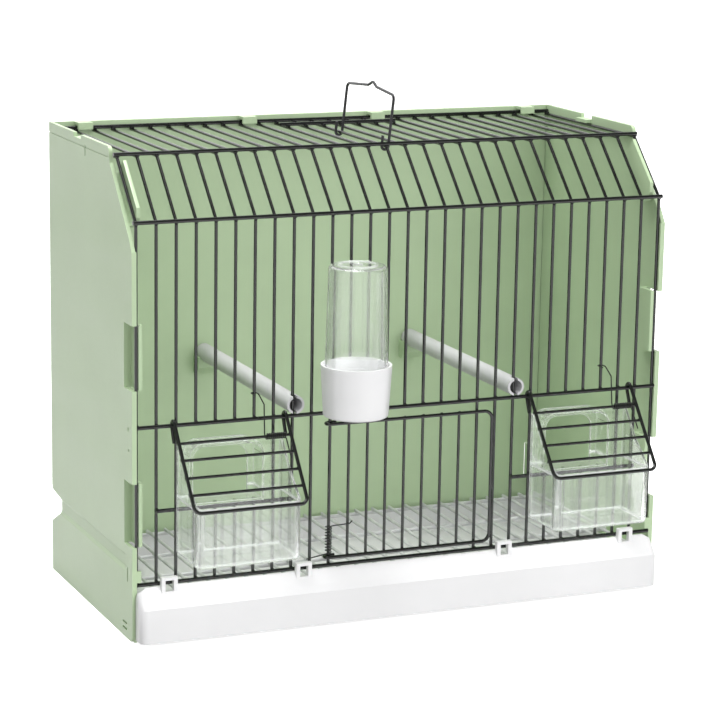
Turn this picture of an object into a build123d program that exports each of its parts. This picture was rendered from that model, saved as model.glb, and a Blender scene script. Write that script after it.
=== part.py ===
from build123d import *
import math
import os

# Bird show cage. Millimetres, +Z up, +X to the right of a person facing the grille, -Y towards that person.
# The origin is on the ground, below the middle of the whole outline, drinker and feeders included.

os.makedirs("parts", exist_ok=True)

# Grille: bars run along the front, up the slope and back over the roof
bar_pitch = 12.6
bar_gap_count = 28
bar_radius = 1.0
cross_radius = 1.25
weld_gap = 0.03
bar_bend = 4.0
sill_rise = 45.5
middle_rise = 98.0
slope_start_rise = 221.6
slope_run = 35.3
slope_rise = 34.8
bar_end_clearance = 1.1
rear_wire_inset = 3.1
roof_wire_inset = 23.6
bend_wire_left_overhang = 2.5
bend_wire_right_overhang = 1.2
front_wire_overhang = 0.4
long_bar_places = [0, 1, 2, 7, 8, 9, 10, 18, 19, 20, 21, 26, 27, 28]
left_opening_places = [3, 4, 5, 6]
right_opening_places = [22, 23, 24, 25]
door_bar_places = [11, 12, 13, 14, 15, 16, 17]
sill_spans = {"left": (1, 8), "right": (20, 27)}
roof_wire_places = (11.5, 18)

# Shell
panel_wall = 2.4
panel_bar_clearance = 0.2
cage_depth = 167.0
base_height = 36.1
roof_rim = 6.1
bar_setback = 2.9
shell_shift = 22.0
overrun = 1.0

half_grille = bar_gap_count * bar_pitch / 2
inner_x = half_grille + bar_radius + panel_bar_clearance
outer_x = inner_x + panel_wall
front_y = shell_shift - cage_depth / 2
back_y = shell_shift + cage_depth / 2
back_inner_y = back_y - panel_wall
bar_y = front_y + bar_setback
wire_offset = bar_radius + cross_radius + weld_gap
cross_y = bar_y - wire_offset
bottom_z = base_height
sill_z = bottom_z + sill_rise
middle_z = bottom_z + middle_rise
slope_start_z = bottom_z + slope_start_rise
roof_z = slope_start_z + slope_rise
roof_start_y = bar_y + slope_run
top_z = roof_z + roof_rim


def grille_x(place):
    """The X of a bar place, counted from 0 at the left."""
    return (place - bar_gap_count / 2) * bar_pitch


def save(piece, name):
    """Labels a finished piece and writes its file."""
    piece.label = name
    export_step(piece, f"parts/{name}.step")


def straight_rod(start, end, thickness):
    """A round wire between two points."""
    with BuildPart() as rod:
        with BuildLine() as run:
            Line(start, end)
        with BuildSketch(run.line ^ 0):
            Circle(thickness)
        sweep()
    return rod.part


def bent_rod(points, bend, thickness):
    """A round wire along straight runs, with the same radius at each bend."""
    with BuildPart() as rod:
        with BuildLine() as route:
            FilletPolyline(*points, radius=bend)
        with BuildSketch(route.line ^ 0):
            Circle(thickness)
        sweep()
    return rod.part


def block(low, high, mode=Mode.ADD):
    """A box between two corners, in the open part."""
    middle = [(a + b) / 2 for a, b in zip(low, high)]
    with Locations(tuple(middle)):
        Box(*[b - a for a, b in zip(low, high)], mode=mode)


def plate_along_x(outline, start, end, bends=0.0):
    """A plate across the cage: an outline in Y and Z, drawn out along X."""
    radii = bends if isinstance(bends, list) else [bends] * len(outline)
    with BuildPart() as plate:
        with BuildSketch(Plane.YZ.offset(start)):
            with BuildLine():
                FilletPolyline(*outline, radius=radii, close=True)
            make_face()
        extrude(amount=end - start)
    return plate.part


# Wire grille: bars
long_route = [
    (0, bar_y, bottom_z - cross_radius),
    (0, bar_y, slope_start_z),
    (0, roof_start_y, roof_z),
    (0, back_inner_y - bar_end_clearance, roof_z),
]
short_route = [(0, bar_y, middle_z - cross_radius)] + long_route[1:]
long_bar = bent_rod(long_route, bar_bend, bar_radius)
short_bar = bent_rod(short_route, bar_bend, bar_radius)
stub_bar = straight_rod((0, bar_y, bottom_z - cross_radius), (0, bar_y, sill_z + cross_radius), bar_radius)

with BuildPart() as long_bars:
    with Locations(*[(grille_x(place), 0, 0) for place in long_bar_places]):
        add(long_bar)
save(long_bars.part, "long_bars")

short_bar_places = left_opening_places + door_bar_places + right_opening_places
with BuildPart() as short_bars:
    with Locations(*[(grille_x(place), 0, 0) for place in short_bar_places]):
        add(short_bar)
save(short_bars.part, "short_bars")

with BuildPart() as stub_bars:
    with Locations(*[(grille_x(place), 0, 0) for place in left_opening_places + right_opening_places]):
        add(stub_bar)
save(stub_bars.part, "stub_bars")

# Wire grille: cross wires, all on the outside of the bars
slope_length = math.hypot(slope_run, slope_rise)
slope_normal = Vector(-slope_rise / slope_length, slope_run / slope_length)
front_normal = Vector(-1, 0)
roof_normal = Vector(0, 1)


def outside_bend(corner, first_normal, second_normal):
    """The centre of a cross wire on the outside of a bend whose straight runs meet at the corner."""
    outward = (first_normal + second_normal).normalized()
    half_turn = math.acos(min(1.0, first_normal.dot(second_normal))) / 2
    rounded_off = bar_bend * (1 / math.cos(half_turn) - 1)
    return Vector(*corner) + outward * (wire_offset - rounded_off)


upper_bend = outside_bend((bar_y, slope_start_z), front_normal, slope_normal)
top_bend = outside_bend((roof_start_y, roof_z), slope_normal, roof_normal)
roof_wire_z = roof_z + wire_offset
bend_wire_left_x = -half_grille - bend_wire_left_overhang
bend_wire_right_x = half_grille + bend_wire_right_overhang
front_wire_x = half_grille + front_wire_overhang

full_wires = {
    "rear_cross_wire": (-front_wire_x, front_wire_x, back_inner_y - rear_wire_inset, roof_wire_z),
    "top_bend_cross_wire": (bend_wire_left_x, bend_wire_right_x, top_bend.X, top_bend.Y),
    "upper_bend_cross_wire": (bend_wire_left_x, bend_wire_right_x, upper_bend.X, upper_bend.Y),
    "middle_cross_wire": (-front_wire_x, front_wire_x, cross_y, middle_z),
    "bottom_cross_wire": (-front_wire_x, front_wire_x, cross_y, bottom_z),
}
for name, (start_x, end_x, y, z) in full_wires.items():
    save(straight_rod((start_x, y, z), (end_x, y, z), cross_radius), name)

roof_wire_y = back_inner_y - roof_wire_inset
roof_wire_ends = [grille_x(place) + bar_radius for place in roof_wire_places]
roof_wire_start, roof_wire_end = [(x, roof_wire_y, roof_wire_z) for x in roof_wire_ends]
save(straight_rod(roof_wire_start, roof_wire_end, cross_radius), "roof_cross_wire")

for side, (first, last) in sill_spans.items():
    start = (grille_x(first) - bar_radius, cross_y, sill_z)
    end = (grille_x(last) + bar_radius, cross_y, sill_z)
    save(straight_rod(start, end, cross_radius), f"{side}_sill_wire")

# Side panels: outline of the outer wall in Y and Z
front_strip_rise = 205.0
slope_edge_rise = 213.6
slope_edge_inset = 5.8
slope_edge_reach = 43.0
slope_edge_kink_reach = 41.5
slope_edge_kink_rise = 252.8
notch_depth = 18.0
notch_low_rise = 6.5
notch_high_rise = 17.3
notch_low_drop = 9.0
notch_high_lift = 2.0
notch_round = 4.0
corner_round = 4.0
front_strip_z = bottom_z + front_strip_rise
slope_edge_z = bottom_z + slope_edge_rise
notch_y = back_y - notch_depth
notch_low_z = bottom_z + notch_low_rise
notch_high_z = bottom_z + notch_high_rise
notch_outline = [
    (back_y + overrun, notch_low_z - notch_low_drop),
    (back_y, notch_low_z - notch_low_drop),
    (notch_y, notch_low_z),
    (notch_y, notch_high_z),
    (back_y, notch_high_z + notch_high_lift),
    (back_y + overrun, notch_high_z + notch_high_lift),
]
wall_outline = [
    (front_y, 0),
    (front_y, front_strip_z),
    (front_y + slope_edge_inset, slope_edge_z),
    (front_y + slope_edge_kink_reach, bottom_z + slope_edge_kink_rise),
    (front_y + slope_edge_reach, top_z),
    (back_y, top_z),
    (back_y, notch_high_z + notch_high_lift),
    (notch_y, notch_high_z),
    (notch_y, notch_low_z),
    (back_y, notch_low_z - notch_low_drop),
    (back_y, 0),
]
wall_bends = [corner_round, 0, 0, 0, corner_round, 0, notch_round, 0, 0, notch_round, 0]

# Side panels: windows where the outer wall is cut back and a lip on the cabin side holds the edge bar
window_spans = [(23.6, 63.4), (120.7, 160.6)]
window_depth = 15.0
lip_wall = 2.2
lip_clearance = 0.3
web_wall = 2.4
front_lip_cover = 0.6
front_lip_clearance = 0.3
lip_front_y = bar_y - bar_radius
lip_x = half_grille - bar_radius - lip_clearance
window_back_y = front_y + window_depth

# Side panels: lip along the slope, which stands out past the bars above a set-back foot
slope_lip_shift = 0.6
slope_lip_foot = (5.1, 1.5)
slope_lip_knee = (9.5, -3.0)
slope_lip_end = (45.0, -3.0)
slope_lip_depth = 11.0


def slope_point(run, inward):
    """Y and Z of a point on the slope: run up along the bars, then inward from their axes."""
    across, up = slope_run / slope_length, slope_rise / slope_length
    return (bar_y + run * across + inward * up, slope_start_z + run * up - inward * across)


# Side panels: clip at the top, recesses, ledges and the corner pocket behind the notch
clip_gap_start = 99.0
clip_gap_length = 15.0
clip_clearance = 0.3
clip_wall = 2.2
clip_reach = 3.0
groove_low_rise = 6.2
groove_high_rise = 17.3
groove_front_inset = 13.0
groove_depth = 1.2
groove_side = 2.2
rim_line_drop = 6.0
rim_line_height = 0.8
rim_line_depth = 0.4
slit_depth = 1.2
slits = [
    (90.4, 254.0, 1.5, 7.0),
    (9.0, 5.0, 1.5, 9.0),
    (7.3, 96.2, 1.8, 2.6),
    (6.5, 83.4, 1.4, 1.8),
    (14.4, -26.8, 8.0, 1.4),
    (14.4, -30.5, 8.0, 1.4),
]
ledge_reach = 6.0
ledge_wall = 1.2
runner_reach = 5.0
runner_wall = 1.6
ledge_back_inset = 17.0
pocket_wall = 2.4
pocket_reach = 9.0
foot_lip_gap = 0.35
foot_lip_high = 8.8
foot_lip_reach = 2.2

# Floor grid: round rods front to back, welded on cross rods that lie on the ledges
grid_rod_radius = 1.0
grid_cross_radius = 1.25
grid_drop = 11.5
grid_bite = 0.15
grid_seat = 0.25
grid_front_inset = 4.0
grid_back_inset = 17.0
grid_side_clearance = 1.7
grid_cross_shares = [0.05, 0.35, 0.65, 0.985]
grid_z = bottom_z - grid_drop
grid_cross_z = grid_z - grid_rod_radius - grid_cross_radius + grid_bite
ledge_z = grid_cross_z - grid_cross_radius - grid_seat

with BuildPart() as left_side_panel:
    add(plate_along_x(wall_outline, -outer_x, -inner_x, wall_bends))
    # Strip that wraps the front of the edge bar
    block(
        (-inner_x - overrun, front_y, 0),
        (-half_grille - front_lip_cover, bar_y - bar_radius - front_lip_clearance, front_strip_z),
    )
    # Windows, each with its lip and the web behind the bar
    for low, high in window_spans:
        low_z, high_z = bottom_z + low, bottom_z + high
        block(
            (-outer_x - overrun, front_y - overrun, low_z),
            (-half_grille - bar_radius - panel_bar_clearance / 2, window_back_y, high_z),
            Mode.SUBTRACT,
        )
        block(
            (-half_grille - bar_radius - panel_bar_clearance, front_y - overrun, low_z),
            (-half_grille - bar_radius / 2, bar_y - bar_radius - front_lip_clearance / 2, high_z),
            Mode.SUBTRACT,
        )
        block((-lip_x, lip_front_y, low_z), (-lip_x + lip_wall, window_back_y + web_wall, high_z))
        block(
            (-inner_x - overrun, window_back_y, low_z),
            (-lip_x + lip_wall, window_back_y + web_wall, high_z),
        )
    # Lip along the slope, and the web that joins it to the wall
    slope_lip_back = [slope_point(end[0], slope_lip_depth) for end in (slope_lip_end, slope_lip_foot)]
    slope_lip_front = [slope_point(*end) for end in (slope_lip_foot, slope_lip_knee, slope_lip_end)]
    web_front = [slope_point(end[0], slope_lip_depth - web_wall) for end in (slope_lip_foot, slope_lip_end)]
    slope_lip_x = -lip_x + slope_lip_shift
    add(plate_along_x(slope_lip_front + slope_lip_back, slope_lip_x, slope_lip_x + lip_wall))
    add(plate_along_x(web_front + slope_lip_back, -inner_x - overrun, slope_lip_x + lip_wall))
    # Gap in the top edge, with a clip over the edge bar
    clip_y = front_y + clip_gap_start
    clip_low_z = roof_z + bar_radius + clip_clearance
    block(
        (-outer_x - overrun, clip_y, clip_low_z + clip_wall),
        (-inner_x + overrun, clip_y + clip_gap_length, top_z + overrun),
        Mode.SUBTRACT,
    )
    block(
        (-inner_x - overrun, clip_y, clip_low_z),
        (-half_grille + clip_reach, clip_y + clip_gap_length, clip_low_z + clip_wall),
    )
    # Corner pocket behind the notch
    pocket_outline = [
        (back_inner_y, notch_low_z - notch_low_drop - pocket_wall),
        (notch_y - pocket_wall, notch_low_z - pocket_wall),
        (notch_y - pocket_wall, notch_high_z + pocket_wall),
        (back_inner_y, notch_high_z + notch_high_lift + pocket_wall),
    ]
    add(plate_along_x(pocket_outline, -inner_x - overrun, -outer_x + pocket_reach + pocket_wall))
    add(plate_along_x(notch_outline, -outer_x - overrun, -outer_x + pocket_reach), mode=Mode.SUBTRACT)
    # Ledges: the floor grid's above, the drawer's runner at the bottom
    ledge_end_y = back_y - ledge_back_inset
    block((-inner_x - overrun, bar_y, ledge_z - ledge_wall), (-inner_x + ledge_reach, ledge_end_y, ledge_z))
    block((-inner_x - overrun, bar_y, 0), (-inner_x + runner_reach, back_inner_y, runner_wall))
    # Small lip in front of the foot of the edge bar, just above the bottom cross wire
    block(
        (-inner_x - overrun, front_y, bottom_z + cross_radius + foot_lip_gap),
        (-half_grille + foot_lip_reach, bar_y - bar_radius - front_lip_clearance, bottom_z + foot_lip_high),
    )
    # Shallow waist groove with sloping sides, from the notch to the front
    groove_start = (0, front_y + groove_front_inset, bottom_z)
    groove_slope = groove_side / groove_depth
    with BuildSketch(Plane(groove_start, x_dir=(1, 0, 0), z_dir=(0, -1, 0))):
        with BuildLine():
            Polyline(
                (-outer_x - overrun, groove_low_rise - groove_slope * overrun),
                (-outer_x + groove_depth, groove_low_rise + groove_side),
                (-outer_x + groove_depth, groove_high_rise - groove_side),
                (-outer_x - overrun, groove_high_rise + groove_slope * overrun),
                close=True,
            )
        make_face()
    extrude(amount=-(notch_y + overrun - front_y - groove_front_inset), mode=Mode.SUBTRACT)
    # Rim line and slits on the outer face
    block(
        (-outer_x - overrun, front_y + slope_edge_reach, top_z - rim_line_drop - rim_line_height),
        (-outer_x + rim_line_depth, back_y + overrun, top_z - rim_line_drop),
        Mode.SUBTRACT,
    )
    for inset, rise, length, height in slits:
        block(
            (-outer_x - overrun, front_y + inset - length / 2, bottom_z + rise - height / 2),
            (-outer_x + slit_depth, front_y + inset + length / 2, bottom_z + rise + height / 2),
            Mode.SUBTRACT,
        )
save(left_side_panel.part, "left_side_panel")

with BuildPart() as right_side_panel:
    add(mirror(left_side_panel.part, about=Plane.YZ, mode=Mode.PRIVATE))
save(right_side_panel.part, "right_side_panel")

# Back panel between the side panels, with hooks over the rear cross wire
back_side_clearance = 0.2
hook_width = 10.0
hook_reach = 8.6
hook_wall = 2.2
hook_drop = 4.6
hook_places = [1.4, 10.35, 17.65, 26.6]
back_rib_wall = 1.2
pocket_clearance = 0.05

with BuildPart() as back_panel:
    half_back = inner_x - back_side_clearance
    block((-half_back, back_inner_y, 0), (half_back, back_y, top_z))
    # Ends cut away round the side panels' corner pockets
    pocket_x = outer_x - pocket_reach - pocket_wall - pocket_clearance
    pocket_low_z = notch_low_z - notch_low_drop - pocket_wall - pocket_clearance
    pocket_high_z = notch_high_z + notch_high_lift + pocket_wall + pocket_clearance
    for start, end in ((-outer_x, -pocket_x), (pocket_x, outer_x)):
        block(
            (start, back_inner_y - overrun, pocket_low_z),
            (end, back_y + overrun, pocket_high_z),
            Mode.SUBTRACT,
        )
    for place in hook_places:
        x = grille_x(place)
        block(
            (x - hook_width / 2, back_inner_y - hook_reach, top_z - hook_wall),
            (x + hook_width / 2, back_inner_y, top_z),
        )
        block(
            (x - hook_width / 2, back_inner_y - hook_reach, top_z - hook_drop),
            (x + hook_width / 2, back_inner_y - hook_reach + hook_wall, top_z),
        )
    block(
        (-half_back + runner_reach, back_inner_y - runner_reach, 0),
        (half_back - runner_reach, back_inner_y, back_rib_wall),
    )
save(back_panel.part, "back_panel")

# Perches: hollow tubes on the middle cross wire, each with its end slotted over a bar
perch_radius = 5.7
perch_bore_radius = 4.2
perch_seat = 0.1
perch_front_reach = 4.2
perch_back_clearance = 1.0
slot_clearance = 0.3
perch_places = {"left": 8, "right": 20}
perch_shifts = {"left": 0.6, "right": 0.0}
perch_z = middle_z + cross_radius + perch_seat + perch_radius
bracket_width = 14.0
bracket_reach = 10.0
bracket_drop = 14.0
bracket_top_drop = 2.0
bracket_seat = 0.15

for side, place in perch_places.items():
    slot_x = grille_x(place)
    x = slot_x + perch_shifts[side]
    perch_front_y = bar_y - perch_front_reach
    perch_length = back_inner_y - perch_back_clearance - perch_front_y
    with BuildPart() as perch:
        with BuildSketch(Plane((x, perch_front_y, perch_z), x_dir=(1, 0, 0), z_dir=(0, 1, 0))):
            Circle(perch_radius)
            Circle(perch_bore_radius, mode=Mode.SUBTRACT)
        extrude(amount=perch_length)
        half_slot = bar_radius + slot_clearance
        block(
            (slot_x - half_slot, perch_front_y - overrun, perch_z - perch_radius - overrun),
            (slot_x + half_slot, bar_y + half_slot, perch_z + perch_radius + overrun),
            Mode.SUBTRACT,
        )
    save(perch.part, f"{side}_perch")
    with BuildPart() as bracket:
        block(
            (x - bracket_width / 2, back_inner_y - bracket_reach, perch_z - bracket_drop),
            (x + bracket_width / 2, back_inner_y, perch_z - bracket_top_drop),
        )
        seat_start = (x, back_inner_y - bracket_reach - overrun, perch_z)
        with BuildSketch(Plane(seat_start, x_dir=(1, 0, 0), z_dir=(0, 1, 0))):
            Circle(perch_radius + bracket_seat)
        extrude(amount=bracket_reach + 2 * overrun, mode=Mode.SUBTRACT)
        chamfer(bracket.edges().filter_by(Axis.X).group_by(Axis.Z)[0].sort_by(Axis.Y)[0], bracket_reach / 2)
    save(bracket.part, f"{side}_perch_bracket")

# Floor grid
grid_half = inner_x - grid_side_clearance
grid_front_y = front_y + grid_front_inset
grid_back_y = back_y - grid_back_inset
rod_count = bar_gap_count
with BuildPart() as floor_grid:
    rod = straight_rod((0, grid_front_y, grid_z), (0, grid_back_y, grid_z), grid_rod_radius)
    with Locations(*[(grille_x(place + 0.5), 0, 0) for place in range(rod_count)]):
        add(rod)
    for share in grid_cross_shares:
        y = grid_front_y + share * (grid_back_y - grid_front_y)
        add(straight_rod((-grid_half, y, grid_cross_z), (grid_half, y, grid_cross_z), grid_cross_radius))
save(floor_grid.part, "floor_grid")

# Drawer: open tray behind a hollow sloped front, with four loops in front of the bottom cross wire
drawer_end_inset = 1.8
drawer_lift = 1.9
drawer_wall = 2.0
drawer_floor = 1.8
nose_reach = 12.0
nose_back_inset = 1.0
nose_band_rise = 21.2
nose_top_drop = 1.4
tray_top_drop = 17.2
tray_back_clearance = 2.6
nose_end_round = 5.0
nose_corner_run = 6.5
nose_corner_drop = 3.6
tray_side_clearance = 0.8
loop_places = [1.5, 8.5, 19.5, 26.5]
loop_width = 10.3
loop_reach = 3.4
loop_low = -6.5
loop_high = 4.5
loop_window_width = 5.4
loop_window_low = -4.2
loop_window_high = 2.5
drawer_half = outer_x - drawer_end_inset
nose_back_y = front_y - nose_back_inset
nose_front_y = front_y - nose_reach
nose_top_z = bottom_z - nose_top_drop
nose_band_z = drawer_lift + nose_band_rise
tray_back_y = back_inner_y - tray_back_clearance
tray_half = inner_x - tray_side_clearance
tray_top_z = bottom_z - tray_top_drop

with BuildPart() as drawer:
    nose_outline = [
        (nose_back_y, drawer_lift),
        (nose_front_y, drawer_lift),
        (nose_front_y, nose_band_z),
        (nose_back_y, nose_top_z),
    ]
    add(plate_along_x(nose_outline, -drawer_half, drawer_half))
    # Rounded ends: the band's upright edges and the ends of the slope above it
    end_edges = drawer.edges().filter_by(GeomType.LINE).filter_by(Axis.X, reverse=True)
    front_ends = end_edges.filter_by(
        lambda edge: edge.center().Z > drawer_lift + overrun and edge.center().Y < nose_back_y - drawer_wall
    )
    fillet(front_ends, nose_end_round)
    # Top corners cut off
    for sign in (-1, 1):
        with BuildSketch(Plane((0, nose_back_y + overrun, nose_top_z), x_dir=(1, 0, 0), z_dir=(0, -1, 0))):
            with BuildLine():
                Polyline(
                    (sign * (drawer_half - nose_corner_run), 0),
                    (sign * drawer_half, -nose_corner_drop),
                    (sign * (drawer_half + nose_corner_run), -nose_corner_drop),
                    (sign * (drawer_half + nose_corner_run), nose_corner_drop),
                    (sign * (drawer_half - nose_corner_run), nose_corner_drop),
                    close=True,
                )
            make_face()
        extrude(amount=nose_reach + 2 * overrun, mode=Mode.SUBTRACT)
    band_slope = (nose_top_z - nose_band_z) / (nose_back_y - nose_front_y)
    cavity_back_y = nose_back_y - drawer_wall
    cavity_outline = [
        (cavity_back_y, drawer_lift - overrun),
        (nose_front_y + drawer_wall, drawer_lift - overrun),
        (nose_front_y + drawer_wall, nose_band_z - drawer_wall / 2),
        (cavity_back_y, nose_top_z - drawer_wall * (1 + band_slope) - drawer_wall / 2),
    ]
    cavity_half = drawer_half - nose_end_round - nose_corner_run / 2
    add(plate_along_x(cavity_outline, -cavity_half, cavity_half), mode=Mode.SUBTRACT)
    block((-tray_half, nose_back_y - drawer_wall / 2, drawer_lift), (tray_half, tray_back_y, tray_top_z))
    block(
        (-tray_half + drawer_wall, nose_back_y, drawer_lift + drawer_floor),
        (tray_half - drawer_wall, tray_back_y - drawer_wall, tray_top_z + overrun),
        Mode.SUBTRACT,
    )
    for place in loop_places:
        x = grille_x(place)
        block(
            (x - loop_width / 2, nose_back_y - loop_reach, bottom_z + loop_low),
            (x + loop_width / 2, nose_back_y, bottom_z + loop_high),
        )
        block(
            (x - loop_window_width / 2, nose_back_y - loop_reach - overrun, bottom_z + loop_window_low),
            (x + loop_window_width / 2, nose_back_y + overrun, bottom_z + loop_window_high),
            Mode.SUBTRACT,
        )
save(drawer.part, "drawer")

# Door: one welded piece, hooked round a bar of the grille
door_hinge_place = 10
door_frame_radius = 1.1
door_bar_radius = 0.9
hinge_clearance = 0.35
door_low_rise = 4.8
door_high_rise = 90.5
door_reach = 110.6
door_corner = 5.5
hook_tail = 5.0
weld_bite = 0.12
hinge_x = grille_x(door_hinge_place)
door_curl = bar_radius + door_frame_radius + hinge_clearance
door_y = bar_y - door_curl
door_low_z = bottom_z + door_low_rise
door_high_z = bottom_z + door_high_rise
door_free_x = hinge_x + door_reach
door_bar_y = door_y + door_frame_radius + door_bar_radius - weld_bite

with BuildPart() as door:
    with BuildLine() as door_route:
        Line((hinge_x + hook_tail, bar_y + door_curl, door_low_z), (hinge_x, bar_y + door_curl, door_low_z))
        ThreePointArc(
            (hinge_x, bar_y + door_curl, door_low_z),
            (hinge_x - door_curl, bar_y, door_low_z),
            (hinge_x, door_y, door_low_z),
        )
        FilletPolyline(
            (hinge_x, door_y, door_low_z),
            (door_free_x, door_y, door_low_z),
            (door_free_x, door_y, door_high_z),
            (hinge_x, door_y, door_high_z),
            radius=door_corner,
        )
        ThreePointArc(
            (hinge_x, door_y, door_high_z),
            (hinge_x - door_curl, bar_y, door_high_z),
            (hinge_x, bar_y + door_curl, door_high_z),
        )
        Line(
            (hinge_x, bar_y + door_curl, door_high_z),
            (hinge_x + hook_tail, bar_y + door_curl, door_high_z),
        )
    with BuildSketch(door_route.line ^ 0):
        Circle(door_frame_radius)
    sweep()
    door_bar = straight_rod(
        (0, door_bar_y, door_low_z - door_frame_radius / 2),
        (0, door_bar_y, door_high_z + door_frame_radius / 2),
        door_bar_radius,
    )
    with Locations(*[(grille_x(place), 0, 0) for place in door_bar_places]):
        add(door_bar)
save(door.part, "door")


# Springs: one wire with two arms and a coil between them, its turns made of tangent arcs
def helix_frame(centre, across, up, along, coil_radius, pitch, swing):
    """Points and directions along a helix that starts below its centre and turns towards across."""
    steps = round(swing / 180)
    frame = []
    for step in range(steps + 1):
        angle = math.radians(swing) * step / steps
        spoke = across * math.sin(angle) - up * math.cos(angle)
        heading = across * math.cos(angle) + up * math.sin(angle)
        point = centre + spoke * coil_radius + along * (pitch * angle / (2 * math.pi))
        tangent = (heading * coil_radius + along * (pitch / (2 * math.pi))).normalized()
        frame.append((point, tangent))
    return frame


def biarc_joint(start, start_heading, end, end_heading):
    """Where two tangent arcs between two directed points meet, and their direction there."""
    chord = end - start
    square = 2 * (1 - start_heading.dot(end_heading))
    linear = 2 * chord.dot(start_heading + end_heading)
    constant = -chord.dot(chord)
    reach = (-linear + math.sqrt(linear * linear - 4 * square * constant)) / (2 * square)
    first = start + start_heading * reach
    second = end - end_heading * reach
    return (first + second) * 0.5, (second - first).normalized()


def spring_wire(frame, first_arm, last_arm, first_bends, last_bends, thickness):
    """Sweeps the wire along the first arm, the coil and the last arm. The arms are lists of points."""
    with BuildPart() as spring:
        with BuildLine() as route:
            FilletPolyline(*first_arm, frame[0][0], radius=first_bends)
            for (start, start_heading), (end, end_heading) in zip(frame, frame[1:]):
                joint, heading = biarc_joint(start, start_heading, end, end_heading)
                TangentArc(start, joint, tangent=start_heading)
                TangentArc(joint, end, tangent=heading)
            FilletPolyline(frame[-1][0], *last_arm, radius=last_bends)
        with BuildSketch(route.line ^ 0):
            Circle(thickness)
        sweep()
    length = sum(edge.length for edge in route.line.edges())
    print("spring volume over section times length", spring.part.volume / (math.pi * thickness**2 * length))
    return spring.part


def least_gap(frame, thickness):
    """The least gap between a coil's neighbouring turns, measured between its points."""
    points = [point for point, heading in frame]
    return min((b - a).length for a, b in zip(points, points[2:])) - 2 * thickness


spring_radius = 0.4
spring_arm_bend = 1.2
door_spring_clearance = 0.45
door_spring_pitch = 1.9
door_spring_turns = 9
door_spring_lift = 2.8
door_arm_run = 2.5
door_arm_reach = 15.0
door_arm_tip = 1.6
arm_gap = 0.2

door_coil_radius = bar_radius + door_spring_clearance + spring_radius
door_coil_centre = Vector(hinge_x, bar_y, door_low_z + door_spring_lift)
door_coil = helix_frame(
    door_coil_centre,
    Vector(1, 0, 0),
    Vector(0, 1, 0),
    Vector(0, 0, 1),
    door_coil_radius,
    door_spring_pitch,
    360 * door_spring_turns,
)
print("door spring: radius", door_coil_radius, "least gap", least_gap(door_coil, spring_radius))
low_point, low_heading = door_coil[0]
high_point, high_heading = door_coil[-1]
low_arm_y = bar_y - bar_radius - spring_radius - arm_gap
high_arm_y = door_bar_y - door_bar_radius - spring_radius - arm_gap
low_arm = [
    (hinge_x - door_arm_reach, low_arm_y, low_point.Z - door_arm_run),
    low_point - low_heading * door_arm_run,
]
high_arm = [
    high_point + high_heading * door_arm_run,
    (hinge_x + door_arm_reach - door_arm_tip, high_arm_y, high_point.Z + door_arm_tip / 2),
    (hinge_x + door_arm_reach, high_arm_y, high_point.Z + door_arm_tip * 1.5),
]
door_spring = spring_wire(door_coil, low_arm, high_arm, spring_arm_bend, spring_arm_bend, spring_radius)
save(door_spring, "door_spring")

# Feeder flaps: welded wire frames hooked on the middle cross wire, leaning out over the feeders
flap_frame_radius = 1.1
flap_bar_radius = 0.9
flap_lean = 39.0
flap_length = 59.9
flap_left_reach = 34.0
flap_right_reaches = {"left": 38.2, "right": 38.8}
flap_corner = 4.5
flap_tail = 10.5
flap_tail_lean = 24.0
flap_bar_runs = [12.8, 24.1, 35.9, 47.2]
opening_spans = {"left": (2, 7), "right": (21, 26)}
flap_curl = cross_radius + flap_frame_radius + hinge_clearance
lean = math.radians(flap_lean)
down_y, down_z = -math.sin(lean), -math.cos(lean)
out_y, out_z = -math.cos(lean), math.sin(lean)
flap_bar_offset = flap_curl - flap_frame_radius - flap_bar_radius + weld_bite
tail_lean = math.radians(flap_tail_lean)
flap_tail_run = Vector(0, -math.sin(tail_lean), -math.cos(tail_lean)) * flap_tail
curl_middle = 90 - (flap_lean + flap_tail_lean) / 2


def flap_point(x, run, offset):
    """A point of a flap: run along it from the hinge, offset outwards from the hinge's axis."""
    return Vector(x, cross_y + run * down_y + offset * out_y, middle_z + run * down_z + offset * out_z)


def curl_point(x, angle):
    """A point on the curl round the middle cross wire. Angle 0 is behind it, 90 above it."""
    turn = math.radians(angle)
    return Vector(x, cross_y + flap_curl * math.cos(turn), middle_z + flap_curl * math.sin(turn))


# Flap springs
flap_spring_clearance = 0.3
flap_spring_pitch = 1.3
flap_spring_turns = 10
flap_coil_gap = 1.0
upper_arm_inset = 1.7
upper_arm_drift = 1.2
upper_arm_rise = 9.0
upper_hook_rise = 15.5
upper_hook_radius = 1.7
upper_hook_reach = 3.0
upper_tip_reach = 5.5
hook_flat = 0.1
lower_arm_run = 16.0
flap_arm_run = 2.0
flap_coil_radius = flap_bar_radius + flap_spring_clearance + spring_radius

# Feeders: trough in front of the grille, and a tunnel through the feeder opening
feeder_width = 67.7
feeder_shift = 1.45
feeder_wall = 1.6
feeder_low_rise = 17.2
feeder_lip_rise = 54.5
feeder_plate_rise = 86.6
feeder_clearance = 0.35
feeder_lip_gap = 0.3
feeder_corner = 5.0
feeder_base_round = 3.0
tunnel_width = 48.0
tunnel_depth = 15.0
tunnel_corner = 9.0
arch_width = 37.0
arch_rise = 80.0
arch_corner = 9.0
sill_clearance = 0.5
tunnel_top_drop = 1.2
cheek_lip_run = 2.3
cheek_knee_reach = 17.4
cheek_knee_rise = 68.5
cheek_shoulder_reach = 4.0
cheek_shoulder_rise = 84.8
cheek_bend = 18.0
cheek_shoulder_bend = 2.0
feeder_back_y = cross_y - cross_radius - feeder_clearance
feeder_front_y = cross_y + flap_length * down_y + flap_curl * out_y + flap_frame_radius + feeder_lip_gap
feeder_low_z = bottom_z + feeder_low_rise
feeder_lip_z = bottom_z + feeder_lip_rise
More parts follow.
